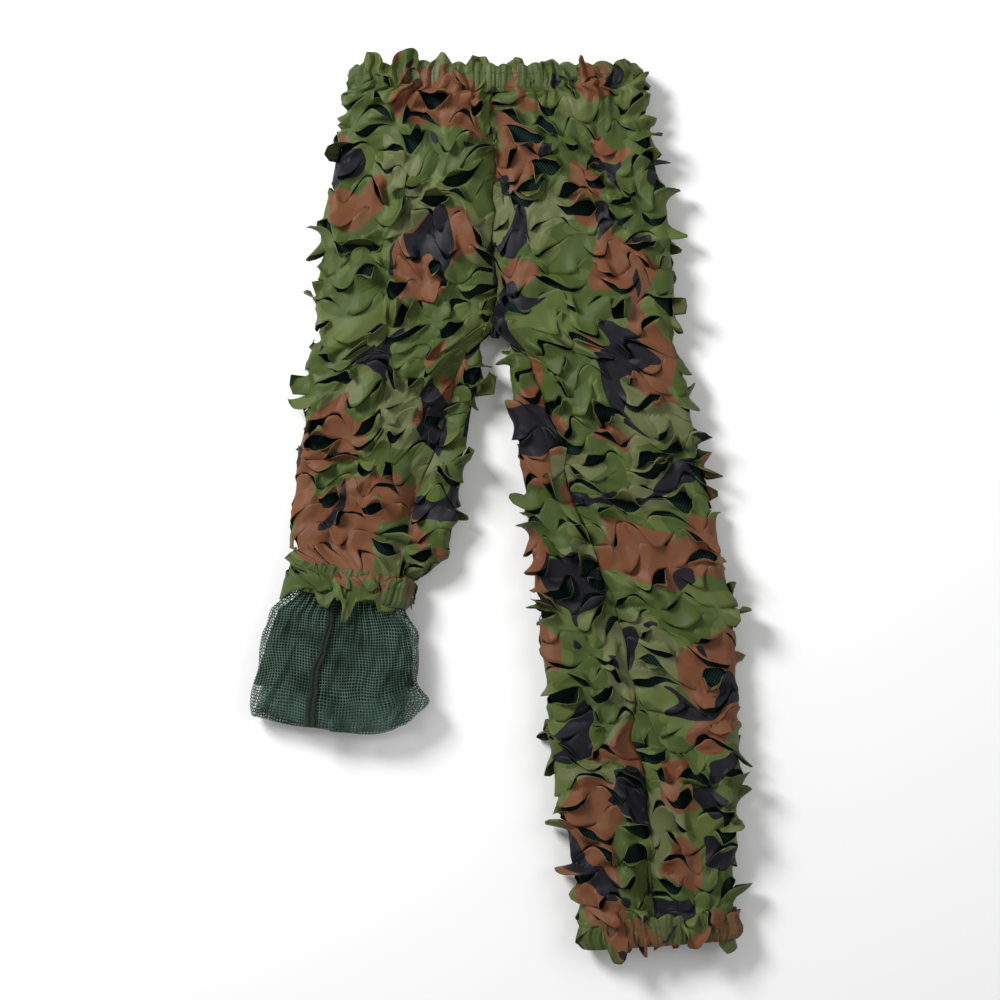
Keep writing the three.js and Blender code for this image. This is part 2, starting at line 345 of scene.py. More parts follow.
class Panel:
    """One side of the garment: a cloth from the centre front seam round the side to the centre back seam,
    which becomes a whole tube below the crotch, closed by the seam down the front of the leg."""

    def __init__(self, side, inset=SIDE_INSET, low=BACK_HEIGHT, high=FRONT_HEIGHT):
        self.side = side
        self.legs = LEGS[side]
        self.round_hips = Tube(HIPS, low, high, inset, SEAM_VALLEY)
        self.round_leg = Tube(self.legs, low, high, inset, SEAM_VALLEY)

    def place(self, s, t, out):
        """The point at s across the flat cloth and t down it from the waist, lifted by out.

        It goes over from the hips' tube to the leg's tube within 22 mm of the crotch.
        """
        share = s / PANEL_WIDTH
        start = 0 if self.side == "left" else 0.5
        hip_arc = lambda trip, seam: (start + share * 0.5) * trip + seam_sway(t)
        leg_arc = lambda trip, seam: share * trip - seam + seam_sway(t)
        hip = self.round_hips.place(hip_arc, t, out)
        leg = self.round_leg.place(leg_arc, t, out)
        below = smooth((t - RISE + 0.022) / 0.044)[..., None]
        return hip * (1 - below) + leg * below

    def front_middle(self, s):
        """From 1 at the middle of the front to 0 at the sides."""
        share = s / PANEL_WIDTH if self.side == "left" else 1 - s / PANEL_WIDTH
        return smooth((0.25 - share) / 0.12)

    def facing(self, s, t):
        """How far the cloth faces sideways, and how far it faces the floor, both from 0 to 1."""
        outward = (self.place(s, t, 0.001) - self.place(s, t, 0.0)) / 0.001
        return np.hypot(outward[..., 0], outward[..., 1]), smooth((0.2 - outward[..., 2]) / 0.8)


# ---------------------------------------------------------------- leaf cloth

def wave(phase):
    """A wave from -1 to 1 with straight flanks and short flat crests, where phase counts whole waves: four
    fifths a triangle wave, cut off at its crests, and one fifth its hyperbolic tangent."""
    triangle = 4 * np.abs(np.mod(phase, 1) - 0.5) - 1
    return np.tanh(2.2 * triangle) / math.tanh(2.2) * 0.20 + np.clip(1.42 * triangle, -1, 1) * 0.80


class Cuts:
    """The wavy cuts of a leaf cloth: one in every wave of every row, with bridges of cloth between them."""

    def __init__(self, seed, rows, waves):
        random = np.random.default_rng(seed)
        shape = (rows + 2, waves + 4)
        self.seed = seed
        kind = random.random(shape)
        laps = kind < 0.40
        slits = (kind >= 0.40) & (kind < 0.56)
        gaps = [random.uniform(-0.0055, -0.0020, shape), 0.0004 * kind]
        self.open = np.select([laps, slits], gaps, random.uniform(0.001, 0.0065, shape))
        tilts = [random.uniform(0.28, 0.70, shape), 0.7 * kind]
        self.tilt = np.select([laps, slits], tilts, random.uniform(0.20, 1.05, shape))
        self.curl_down = random.choice([3, 15, 45, 95], shape, p=[0.50, 0.26, 0.14, 0.10])
        self.curl_up = random.choice([3, 15, 45, 95], shape, p=[0.64, 0.20, 0.10, 0.06])
        self.tilt_up = self.tilt * random.choice([0.10, 0.35, 1.0], shape, p=[0.42, 0.26, 0.32])
        self.twist = random.uniform(-1, 1, shape)
        self.shift = random.uniform(-0.2, 0.2, rows + 2)

    def phase(self, s, t):
        """Waves counted across the cloth, drifting and uneven, as a hand-fed cutter leaves them."""
        drift = 0.22 * wobble(s / 0.09, t / 0.06, self.seed + 11)
        return s / PERIOD + 0.21 * t / ROW + drift

    def on_flap(self, s, t, crest):
        """1 over the width of the flaps whose tips are at that phase, falling to 0 between them."""
        from_tip = np.mod(self.phase(s, t) - crest + 0.5, 1) - 0.5
        return smooth((0.42 - np.abs(from_tip)) / 0.10)

    def curve(self, row, s):
        """How far down the cloth the cut of that row runs at s."""
        t = row * ROW
        phase = self.phase(s, t)
        lean = 0.15 * wobble(s / 0.05, t / 0.019, self.seed + 3)
        depth = CUT_DEPTH * (1 + 0.32 * wobble(s / 0.04, t / 0.031, self.seed + 4))
        sway = 0.0035 * wobble(s / 0.05, t / 0.045, self.seed + 5)
        return t + depth * wave(phase + lean * np.sin(2 * np.pi * phase)) + sway

    def bridge_phase(self, row):
        """Cuts of neighbouring rows are staggered by half a wave."""
        return np.where(np.mod(row, 2) == 0, 0.5, 0.0) + self.shift[row]

    def along(self, row, s):
        """The number of the cut at s, and how far the point is from its nearest bridge, in metres."""
        phase = self.phase(s, row * ROW) + self.bridge_phase(row)
        number = np.floor(phase).astype(int) + 1
        from_bridge = np.minimum(np.mod(phase, 1), 1 - np.mod(phase, 1)) * PERIOD
        return number % self.twist.shape[1], from_bridge


def curl(length, tilt, curvature):
    """How far along and out a strip of that length ends when it sets off at an angle and bends evenly."""
    bend = np.maximum(curvature, 1e-3)
    along = (np.sin(tilt + bend * length) - np.sin(tilt)) / bend
    return along, (np.cos(tilt) - np.cos(tilt + bend * length)) / bend


def leaf_flap(cuts, row, s, reach, lobe, tilt, curvature, turned):
    """Bends the cloth near a cut, where reach is the distance towards the cut from where it starts to lift.

    The more a flap is turned, the more one of its corners lifts and the other stays down.
    """
    number, from_bridge = cuts.along(row, s)
    free = smooth((from_bridge - BRIDGE) / 0.011)
    amount = free * (0.12 + 0.88 * lobe)
    bend = curvature[row, number] * amount
    twist = cuts.twist[row, number]
    phase = np.mod(cuts.phase(s, row * ROW) + cuts.bridge_phase(row), 1) - 0.5
    bend = bend * (1 + 0.95 * twist * np.sin(2 * np.pi * phase))
    tilt = tilt[row, number] * amount * (1 + 0.5 * twist * np.sin(2 * np.pi * phase))
    forward, outward = curl(reach, tilt, bend)
    outward = outward * (1 + 2 * turned * phase * np.sign(twist))
    swing = 0.35 * twist * free * lobe * reach
    pulled = cuts.open[row, number] * smooth((from_bridge - BRIDGE) / 0.022) * smooth(reach / 0.016)
    return forward - reach - pulled, outward, swing


def leaf_cloth(name, panel, first, last, seed, trim):
    """A stretch of leaf cloth from row first to row last: strips between neighbouring cuts, meshed as a grid.

    Each strip has its own points along both cuts, so the cloth opens there, and it is joined where they meet.
    trim gives the distance down and the lift that the stretch takes at its ends.
    """
    columns = int(PANEL_WIDTH / COLUMN) + 1
    cuts = Cuts(seed, LONGEST_PANEL, int(PANEL_WIDTH / PERIOD) + 12)
    row = np.arange(first, last)[:, None, None]
    part = np.linspace(0, 1, SUB_ROWS + 1)[None, :, None]
    s = np.linspace(0, PANEL_WIDTH, columns)[None, None, :]
    row, part, s = np.broadcast_arrays(row, part, s)
    upper = cuts.curve(row, s)
    lower = cuts.curve(row + 1, s)
    t = upper + (lower - upper) * part

    sideways, floor = panel.facing(s, t)
    turned = 0.30 + 0.70 * sideways

    # The flaps above the lower cut and below the upper one.
    start = 0.52 * ROW
    reach = np.maximum(0, t - (row + 1) * ROW + start)
    lobe = cuts.on_flap(s, (row + 1) * ROW, 0.0)
    down, out_down, swing_down = leaf_flap(cuts, row + 1, s, reach, lobe, cuts.tilt, cuts.curl_down, turned)
    reach = np.maximum(0, row * ROW + start - t)
    lobe = cuts.on_flap(s, row * ROW, 0.5)
    up, out_up, swing_up = leaf_flap(cuts, row, s, reach, lobe, cuts.tilt_up, cuts.curl_up, turned)
    lift = (out_down + out_up) * (1 + 0.25 * sideways)

    # The whole cloth is crumpled, in folds and crisp facets, and lies flatter on the floor and at its seams.
    crumple = 0.0032 * wobble(s / 0.06, t / 0.05, seed + 21)
    crumple += 0.0040 * facets((s + 0.5 * t) / 0.027, (t - 0.4 * s) / 0.024, seed + 22)
    crumple += 0.0010 * facets((s - 0.3 * t) / 0.014, (t + 0.5 * s) / 0.011, seed + 23)
    lift = lift + crumple
    lift = np.where(lift > 0, lift * (1 - 0.78 * floor), lift)
    seam = smooth(np.minimum(s, PANEL_WIDTH - s) / 0.007)
    lift = lift * (0.35 + 0.65 * seam)
    flat = np.stack([s, t], -1)
    t, lift = trim(s, t, lift)

    # It is drawn out of line here and there, less so near its ends.
    beside = (0.011 * wobble(s / 0.055, t / 0.05, seed + 24) + swing_down + swing_up) * seam
    inner_part = smooth(t / 0.08) * smooth((panel.legs.distance[-1] - t) / 0.08)
    along = (0.007 + 0.009 * inner_part) * wobble(s / 0.06, t / 0.06, seed + 25)
    lift = np.minimum(lift, 0.0185 + 0.004 * sideways)
    points = panel.place(s + beside, t + down - up + along, lift)
    apart = 0.0006 * (row % 3)
    points[..., 2] = np.maximum(points[..., 2], FLOOR_CLEAR + apart)
    points[..., 2] = np.minimum(points[..., 2], HIGHEST - apart)
    return cloth_object(name, points, flat)


def mesh_object(name, points, faces):
    """An object at the origin, with a mesh of those points and faces."""
    mesh = bpy.data.meshes.new(name)
    mesh.from_pydata(points, [], faces)
    piece = bpy.data.objects.new(name, mesh)
    bpy.context.collection.objects.link(piece)
    return piece


def cloth_object(name, points, flat):
    """A mesh from strips of points, of shape (strips, lines, columns, 3). flat holds each point's s and t."""
    strips, lines, columns = points.shape[:3]
    index = np.arange(strips * lines * columns).reshape(strips, lines, columns)
    quads = np.stack([index[:, :-1, :-1], index[:, :-1, 1:], index[:, 1:, 1:], index[:, 1:, :-1]], -1)
    piece = mesh_object(name, points.reshape(-1, 3), quads.reshape(-1, 4).tolist())
    mesh = piece.data
    loops = np.empty(len(mesh.loops), int)
    mesh.loops.foreach_get("vertex_index", loops)
    layer = mesh.uv_layers.new(name="cloth")
    layer.data.foreach_set("uv", flat.reshape(-1, 2)[loops].astype(np.float32).ravel())
    working = bmesh.new()
    working.from_mesh(mesh)
    bmesh.ops.remove_doubles(working, verts=working.verts, dist=0.00001)
    working.to_mesh(mesh)
    working.free()
    mesh.shade_smooth()
    mesh.set_sharp_from_angle(angle=math.radians(14))
    return piece


def grid_object(name, points, u, v):
    """A mesh from one grid of points, with its flat cloth's coordinates. Sides that coincide are joined."""
    points[..., 2] = np.clip(points[..., 2], FLOOR_CLEAR, HIGHEST)
    return cloth_object(name, points[None], np.stack([u, v], -1)[None])


def ring_object(name, tube, share, t, out, u, v, closed_section=False):
    """A grid carried round a tube from the middle of its back and closed there."""
    points = tube.place(lambda whole, seam: (share + 0.5) * whole, t, out)
    points[:, -1] = points[:, 0]
    if closed_section:
        points[-1] = points[0]
    return grid_object(name, points, u, v)


def cut_size(panel, start, end, fullness):
    """Width and length, and area, of the tapered cut of cloth that covers a panel between two distances."""
    t = np.linspace(start, end, 60)
    hips = HIPS.at(t)[2] * 2
    leg = panel.legs.at(t)[2] * 4
    width = np.where(t < RISE, hips, leg) * fullness
    return (float(width.max()), end - start), float(width.mean() * (end - start))


# ---------------------------------------------------------------- lining, hems and sewing

def lining(name, panel, start, end, seed):
    """A stretch of mesh lining: the panel's own surface, lifted by two sizes of wobble."""
    lines = int((end - start) / 0.006) + 1
    s, t = np.meshgrid(np.linspace(0, PANEL_WIDTH, 110), np.linspace(start, end, lines))
    lift = 0.0016 * wobble(s / 0.04, t / 0.035, seed) + 0.0008 * wobble(s / 0.017, t / 0.015, seed + 1)
    return grid_object(name, panel.place(s, t, lift), s, t)


def sleeve(name, tube, start, gathers, seed):
    """A gathered hem sleeve: a rounded flat section carried round a tube, moved outwards by the size of a
    sine for each gather, so that it puckers between the stitches."""
    share, turn = np.meshgrid(np.linspace(0, 1, gathers * 9 + 1), np.linspace(1, 0, 29))
    angle = 2 * np.pi * turn
    along = SLEEVE_LENGTH / 2 * power(np.cos(angle), 0.5)
    thick = SLEEVE_THICKNESS / 2 * power(np.sin(angle), 0.7)
    folds = share * gathers + 0.45 * wobble(share * gathers / 2, 2 * turn, seed)
    pucker = 1.6 * np.abs(np.sin(np.pi * folds)) ** 0.8 - 1 + 0.35 * np.sin(2 * np.pi * 2.7 * folds)
    belly = 0.30 + 0.70 * np.abs(np.sin(angle))
    out = thick + 0.0019 * pucker * belly
    tab = np.abs(np.sin(np.pi * folds)) ** 0.6 + 0.6 * wobble(share * gathers, 3 * turn, seed + 1)
    along = along - 0.0055 * tab * smooth(-np.cos(angle) * 1.5)
    t = start + SLEEVE_LENGTH / 2 + along
    u = share * (4 * tube.rows.at(np.array([start]))[2][0] * 1.5)
    return ring_object(name, tube, share, t, out, u, turn * 2.3 * SLEEVE_LENGTH, closed_section=True)


def elastic_band(name, tube, start):
    """Flat braided elastic inside a hem sleeve: a thin rounded section carried round the same tube."""
    share, turn = np.meshgrid(np.linspace(0, 1, 161), np.linspace(1, 0, 17))
    angle = 2 * np.pi * turn
    t = start + SLEEVE_LENGTH / 2 + ELASTIC_LENGTH / 2 * power(np.cos(angle), 0.4)
    out = ELASTIC_THICKNESS / 2 * power(np.sin(angle), 0.8)
    return ring_object(name, tube, share, t, out, share * 0.6, turn * 0.045, closed_section=True)


def frill(name, tube, start, end, gathers, seed):
    """The free edge of a gathered hem: a narrow strip moved in and out by a sine that grows to its edge."""
    share, part = np.meshgrid(np.linspace(0, 1, gathers * 10 + 1), np.linspace(1, 0, 7))
    folds = share * gathers + 0.7 * wobble(share * gathers / 2.5, part, seed)
    wave_out = np.sin(2 * np.pi * folds) * (0.25 + 0.75 * part)
    out = 0.0022 * wave_out + 0.0012 * part
    reach = 0.75 + 0.25 * wobble(share * gathers / 2, 0 * part, seed + 2)
    t = start + (end - start) * part * reach
    return ring_object(name, tube, share, t, out, share * 0.9, part * (end - start))


def stitches(name, path, outward):
    """A line of stitches along a path: six-sided strands, sunk into the cloth at their ends by a sine."""
    steps = np.linalg.norm(np.diff(path, axis=0), axis=1)
    run = np.concatenate([[0], np.cumsum(steps)])
    centres = np.arange(STITCH_GAP, run[-1] - STITCH_LENGTH, STITCH_LENGTH + STITCH_GAP)
    part = np.linspace(0, 1, 6)
    where = centres[:, None] + part[None, :] * STITCH_LENGTH
    sample = lambda values: np.stack([np.interp(where, run, values[:, k]) for k in range(3)], -1)
    spine = sample(path)
    up = sample(outward)
    ahead = np.gradient(spine, axis=1)
    ahead /= np.linalg.norm(ahead, axis=-1, keepdims=True)
    side = np.cross(ahead, up)
    dip = STITCH_THICKNESS * (np.sin(np.pi * part) * 1.9 - 0.9)
    radius = STITCH_THICKNESS * np.sqrt(np.clip(np.sin(np.pi * (0.06 + 0.88 * part)), 0, 1))
    angle = 2 * np.pi * np.arange(6) / 6
    ring = np.cos(angle)[:, None] * side[:, :, None] + np.sin(angle)[:, None] * up[:, :, None]
    points = (spine + dip[None, :, None] * up)[:, :, None] + radius[None, :, None, None] * ring
    points[..., 2] = np.maximum(points[..., 2], 0.0003)
    count = len(centres)
    index = np.arange(count * 36).reshape(count, 6, 6)
    ahead_of = np.roll(index, -1, axis=2)
    walls = np.stack([index[:, :-1], ahead_of[:, :-1], ahead_of[:, 1:], index[:, 1:]], -1).reshape(-1, 4)
    caps = np.concatenate([index[:, 0, ::-1], index[:, -1]])
    piece = mesh_object(name, points.reshape(-1, 3), walls.tolist() + caps.tolist())
    piece.data.shade_smooth()
    return piece


def sewn_line(name, tube, t, gathers, seed):
    """Stitches round a flat tube, following its gathers a little."""
    share = np.linspace(0, 1, 700)
    uneven = 0.5 * wobble(share * gathers / 3, 0 * share, seed)
    lift = STITCH_LIFT + 0.0006 * np.sin(2 * np.pi * (share * gathers + uneven))
    down = t + 0.0008 * wobble(share * gathers / 2, 0 * share, seed + 4)
    path, above = [tube.place(lambda whole, seam: (share + 0.5) * whole, down, lift + k) for k in (0, 0.001)]
    return stitches(name, path, (above - path) / 0.001)


def tape(name, tube, start, end, drop, seed, underneath=False, wide_end=1.0, follow=True):
    """A seam allowance that lies along a seam: a narrow strip with a wavy edge, ribbed by its overlocking.

    Each half of its width is raised by a sine, with fine slanting ribs on it, and all is lowered by drop.
    """
    lines = int((end - start) / 0.001) + 1
    t, part = np.meshgrid(np.linspace(start, end, lines), np.linspace(-1, 1, 13), indexing="ij")
    grown = 1 + (wide_end - 1) * (t - start) / (end - start)
    sway = 0.0012 * wobble(t / 0.012, 0 * t, seed) + 0.0035 * wobble(t / 0.05, 0 * t, seed + 3)
    across = part * TAPE_WIDTH / 2 * grown + sway
    cords = 0.0016 * np.abs(np.sin(np.pi * part)) ** 0.7
    ribs = 0.0004 * np.sin(2 * np.pi * (t / 0.0042 + 0.8 * np.abs(part)))
    out = cords + ribs - drop + 0.0008 * wobble(t / 0.008, part, seed + 1)
    if not follow:
        across = across + 0.006 * wobble(t / 0.028, 0 * t, seed + 5) * smooth(t / 0.02)
    if underneath:
        arc = lambda whole, seam: whole / 2 + across + seam_sway(t)
    else:
        arc = lambda whole, seam: -seam + across + (seam_sway(t) if follow else 0)
    return grid_object(name, tube.place(arc, t, out), across, t)


# ---------------------------------------------------------------- materials

class Value:
    """A socket of a material. Arithmetic on it adds the Math nodes."""

    def __init__(self, look, socket):
        self.look = look
        self.socket = socket

    def __add__(self, other):
        return self.look.math("ADD", self, other)

    def __radd__(self, other):
        return self.look.math("ADD", other, self)

    def __sub__(self, other):
        return self.look.math("SUBTRACT", self, other)

    def __rsub__(self, other):
        return self.look.math("SUBTRACT", other, self)

    def __mul__(self, other):
        return self.look.math("MULTIPLY", self, other)

    def __rmul__(self, other):
        return self.look.math("MULTIPLY", other, self)

    def __gt__(self, other):
        return self.look.math("GREATER_THAN", self, other)


class Look:
    """A material that is built by expressions and ends in one Principled shader."""

    def __init__(self, name, **constants):
        self.material = bpy.data.materials.new(name)
        self.material.use_nodes = True
        self.nodes = self.material.node_tree.nodes
        self.links = self.material.node_tree.links
        self.shader = self.nodes["Principled BSDF"]
        self.set(**constants)

    def node(self, kind, settings=None, inputs=None, output=0):
        """Adds a node: its settings first, then the values or links of its sockets."""
        node = self.nodes.new(kind)
        for setting, value in (settings or {}).items():
            setattr(node, setting, value)
        for socket, value in (inputs or {}).items():
            self.connect(node.inputs[socket], value)
        return Value(self, node.outputs[output])

    def connect(self, socket, value):
        if isinstance(value, Value):
            self.links.new(value.socket, socket)
        else:
            socket.default_value = value

    def math(self, operation, first, second=0.0):
        return self.node("ShaderNodeMath", {"operation": operation}, {0: first, 1: second})

    def vector(self, operation, first, second=(0, 0, 0), scale=1.0):
        inputs = {0: first, 3: scale} if operation == "SCALE" else {0: first, 1: second}
        return self.node("ShaderNodeVectorMath", {"operation": operation}, inputs)

    def mix(self, share, first, second):
        inputs = {0: share, 6: colour(first), 7: colour(second)}
        return self.node("ShaderNodeMix", {"data_type": "RGBA"}, inputs, 2)

    def noise(self, place, scale, detail=2.0, output=0):
        inputs = {"Vector": place, "Scale": scale, "Detail": detail}
        return self.node("ShaderNodeTexNoise", {}, inputs, output)

    def ribs(self, place, direction, scale):
        """Even ribs, one after another in the X or Y direction."""
        settings = {"bands_direction": direction}
        return self.node("ShaderNodeTexWave", settings, {"Vector": place, "Scale": scale})

    def steps(self, value, low, high):
        """Goes from 0 to 1 as value goes from low to high."""
        inputs = {0: value, 1: low, 2: high}
        return self.node("ShaderNodeMapRange", {"interpolation_type": "SMOOTHSTEP"}, inputs)

    def cloth_place(self):
        return self.node("ShaderNodeUVMap", {"uv_map": "cloth"})

    def bump(self, height, strength, distance, normal=None):
        inputs = {"Height": height, "Strength": strength, "Distance": distance}
        if normal is not None:
            inputs["Normal"] = normal
        return self.node("ShaderNodeBump", {}, inputs)

    def warped(self, place, scale, reach):
        """The place, moved in each direction by reach times a noise around 0."""
        swirl = self.vector("SUBTRACT", self.noise(place, scale, 1.0, output=1), (0.5, 0.5, 0.5))
        return self.vector("ADD", place, self.vector("SCALE", swirl, scale=reach))

    def set(self, **sockets):
        """Sets or links the shader's sockets, whose names are written with underscores."""
        for socket, value in sockets.items():
            self.connect(self.shader.inputs[socket.replace("_", " ")], value)

    def finish(self, ink, roughness, normal=None):
        self.set(Base_Color=ink, Roughness=roughness)
        if normal is not None:
            self.set(Normal=normal)
        return self.material


def colour(value):
    """Gives a colour of three numbers its fourth, and leaves a link as it is."""
    if isinstance(value, tuple) and len(value) == 3:
        return (*value, 1.0)
    return value


GREEN = (0.047, 0.071, 0.015)
LIGHT_GREEN = (0.074, 0.100, 0.025)
SAGE = (0.100, 0.112, 0.045)
BROWN = (0.135, 0.050, 0.022)
BLACK = (0.008, 0.008, 0.012)
FADED = (0.10, 0.11, 0.055)


def woodland(look, place):
    """The print: green ground with sage clouds, brown patches and black branches, with crisp edges.

    Each ink shows where its own noise, and the leaning stored on the cloth, pass a value.
    """
    warped = look.warped(place, 17.0, 0.055)
    apart = lambda x, y: look.vector("ADD", warped, (x, y, 0.0))
    leaning = lambda ink: look.node("ShaderNodeAttribute", {"attribute_name": ink}, output=2)
    light = look.noise(apart(1.3, 8.2), 19.0, 1.0)
    sage = look.noise(warped, 14.0, 1.0) + leaning("sage")
    brown = look.noise(apart(3.1, 1.7), 13.0, 0.8) + leaning("brown")
    branch = look.math("ABSOLUTE", look.noise(apart(7.3, 5.9), 10.0, 0.5) - 0.5)
    black = look.noise(apart(4.7, 2.9), 14.0, 0.8) + leaning("black") - branch * 1.1
    ink = look.mix(light > 0.54, GREEN, LIGHT_GREEN)
    ink = look.mix(sage > 0.58, ink, SAGE)
    ink = look.mix(brown > 0.622, ink, BROWN)
    fading = look.noise(place, 30.0, 3.0)
    ink = look.mix(look.steps(fading, 0.45, 0.80) * 0.22, ink, FADED)
    return look.mix(black > 0.532, ink, BLACK)


def printed(name, gloss, veil=None, share=0.0):
    """The start of a material with the print on it, seen through a share of a veil's colour."""
    look = Look(name, Specular_IOR_Level=gloss)
    place = look.cloth_place()
    ink = woodland(look, place)
    if veil is not None:
        ink = look.mix(share, ink, veil)
    return look, place, ink


def leaf_face():
    """Printed side: thin coated cloth with a fine weave, crisp creases and a low sheen."""
    look, place, ink = printed("leaf_cloth_face", 0.16)
    crease = look.noise(place, 55.0, 3.0)
    fold = look.node("ShaderNodeTexVoronoi", {}, {"Vector": place, "Scale": 48.0})
    normal = look.bump(look.ribs(place, "X", 420.0) + look.ribs(place, "Y", 420.0), 0.10, 0.0002)
    normal = look.bump(crease, 0.22, 0.0014, normal)
    normal = look.bump(fold, 0.26, 0.0050, normal)
    return look.finish(ink, look.steps(crease, 0.2, 0.9) * 0.16 + 0.47, normal)


def leaf_reverse():
    """Unprinted side: the ink shows through weakly, over an olive and ochre coating."""
    look, place, ink = printed("leaf_cloth_reverse", 0.25, (0.060, 0.058, 0.010), 0.5)
    crease = look.noise(place, 60.0, 3.0)
    return look.finish(ink, look.steps(crease, 0.2, 0.9) * 0.1 + 0.5, look.bump(crease, 0.3, 0.0012))


def leaf_reverse_in_painted_shade():
    """Unprinted side where it lies under the netting, its ink veiled almost to black as painted shade."""
    look, place, ink = printed("leaf_cloth_reverse_in_painted_shade", 0.10, (0.004, 0.006, 0.003), 0.92)
    crease = look.noise(place, 60.0, 3.0)
    return look.finish(ink, crease * 0.1 + 0.8, look.bump(crease, 0.3, 0.0012))


def leaf_edge_painted_highlight():
    """The heat-cut edge, painted a little lighter than the print as a painted highlight along the rim."""
    look, place, ink = printed("leaf_cloth_edge_painted_highlight", 0.5, (0.11, 0.14, 0.06), 0.25)
    return look.finish(ink, look.noise(place, 300.0) * 0.2 + 0.5)


def hem_look():
    """Hem cloth: the same print, seen through its dull reverse, gathered by the elastic."""
    look, place, ink = printed("hem_cloth", 0.2, (0.040, 0.055, 0.018), 0.30)
    crease = look.noise(place, 70.0, 3.0)
    normal = look.bump(crease, 0.35, 0.0012, look.bump(look.ribs(place, "X", 420.0), 0.12, 0.0002))
    return look.finish(ink, crease * 0.15 + 0.45, normal)


def net_pattern(look, place, pitch, diagonal=True):
    """Netting of crossing threads: how near a point is to a thread, and how near to a knot."""
    spread = look.node("ShaderNodeSeparateXYZ", inputs={0: place}).socket.node
    x, y = [Value(look, spread.outputs[k]) for k in (0, 1)]
    if diagonal:
        across = [(x + y) * (0.7 / pitch), (x - y) * (0.7 / pitch)]
    else:
        across = [(x + y * 0.12) * (1 / pitch), (y - x * 0.12) * (1 / pitch)]
    distance = [look.math("PINGPONG", d, 0.5) for d in across]
    return look.math("MINIMUM", *distance), look.math("MAXIMUM", *distance)


def dark_lining():
    """Netting seen against its own shadow: dull green threads on near black."""
    look = Look("mesh_lining_inside", Specular_IOR_Level=0.08)
    place = look.cloth_place()
    thread, _ = net_pattern(look, place, NET_PITCH)
    on_thread = look.steps(0.5 - thread, 0.28, 0.42)
    tint = look.noise(place, 80.0, 2.0)
    threads = look.mix(tint, (0.005, 0.019, 0.015), (0.014, 0.040, 0.031))
    ink = look.mix(on_thread, (0.0015, 0.0020, 0.0018), threads)
    return look.finish(ink, tint * 0.1 + 0.8, look.bump(on_thread, 0.6, 0.0004))


def open_netting():
    """The netting of the turned-up cuff, open between its threads, with a painted highlight at its knots and
    large patches of painted shade.
    """
    look = Look("mesh_lining", Specular_IOR_Level=0.15)
    place = look.cloth_place()
    thread, knot = net_pattern(look, look.warped(place, 24.0, 0.009), NET_PITCH * 1.12, diagonal=False)
    on_thread = look.steps(0.5 - thread, 0.31, 0.37)
    tint = look.noise(place, 60.0, 3.0)
    ink = look.mix(tint, (0.027, 0.058, 0.043), (0.062, 0.112, 0.086))
    # The knots are painted lighter, a painted highlight where the threads cross.
    ink = look.mix(look.steps(0.5 - knot, 0.2, 0.45) * 0.35, ink, (0.075, 0.130, 0.100))
    # Large patches of painted shade, placed by a noise, darken the netting.
    shade = look.steps(look.noise(place, 17.0, 2.0), 0.46, 0.62)
    ink = look.mix(shade * 0.75, ink, (0.010, 0.024, 0.017))
    look.set(Alpha=on_thread)
    return look.finish(ink, tint * 0.1 + 0.72, look.bump(look.steps(0.5 - thread, 0.2, 0.5), 0.7, 0.0004))


def tape_look():
    """Overlocked seam allowance: dense thread loops across a narrow band."""
    look = Look("seam_tape", Specular_IOR_Level=0.12)
    place = look.cloth_place()
    loops = look.ribs(place, "Y", 260.0)
    ink = look.mix(loops, (0.008, 0.012, 0.009), (0.030, 0.040, 0.030))
    ink = look.mix(look.noise(place, 40.0) * 0.5, ink, (0.020, 0.026, 0.016))
    return look.finish(ink, loops * 0.1 + 0.75, look.bump(loops, 0.8, 0.0005))


def thread_look():
    """Sewing thread: a twisted dark green strand."""
    look = Look("sewing_thread", Specular_IOR_Level=0.4, Sheen_Weight=0.2)
    twist = look.noise(look.node("ShaderNodeTexCoord", output=3), 900.0, 2.0)
    ink = look.mix(twist, (0.022, 0.030, 0.016), (0.052, 0.066, 0.038))
    return look.finish(ink, twist * 0.2 + 0.5)


def elastic_look():
    """Braided elastic: white threads over rubber, in close ribs."""
    look = Look("elastic", Specular_IOR_Level=0.35)
    ribs = look.ribs(look.node("ShaderNodeTexCoord", output=3), "Y", 160.0)
    ink = look.mix(ribs, (0.42, 0.41, 0.37), (0.70, 0.69, 0.64))
    return look.finish(ink, ribs * 0.1 + 0.8, look.bump(ribs, 0.5, 0.0004))


# Where the print shows large patches: place, half sizes, turn in degrees, and how strongly.
BROWN_PATCHES = [
    (-0.075, 0.290, 0.030, 0.055, -20, 0.32), (-0.070, 0.465, 0.045, 0.022, 0, 0.30),
    (-0.180, 0.340, 0.022, 0.030, 0, 0.26), (0.015, 0.410, 0.035, 0.030, 0, 0.28),
    (0.100, 0.480, 0.035, 0.025, 0, 0.24), (0.115, 0.345, 0.040, 0.030, 10, 0.28),
    (0.150, 0.270, 0.045, 0.022, 0, 0.26), (-0.075, 0.160, 0.040, 0.022, 20, 0.24),
    (-0.200, 0.020, 0.030, 0.045, 0, 0.32), (-0.150, -0.020, 0.045, 0.030, 15, 0.28),
    (0.175, 0.175, 0.020, 0.045, 0, 0.24), (0.045, 0.095, 0.026, 0.045, 0, 0.26),
    (0.245, 0.010, 0.022, 0.045, 0, 0.26), (0.160, -0.060, 0.045, 0.028, 0, 0.26),
    (0.265, -0.175, 0.035, 0.045, 0, 0.34), (0.060, -0.150, 0.022, 0.045, 20, 0.22),
    (0.105, -0.355, 0.035, 0.050, 0, 0.32), (0.215, -0.285, 0.035, 0.030, 0, 0.24),
    (0.230, -0.420, 0.035, 0.030, 0, 0.24), (0.120, -0.465, 0.035, 0.022, 0, 0.24),
    (0.205, -0.500, 0.045, 0.018, 0, 0.36),
]
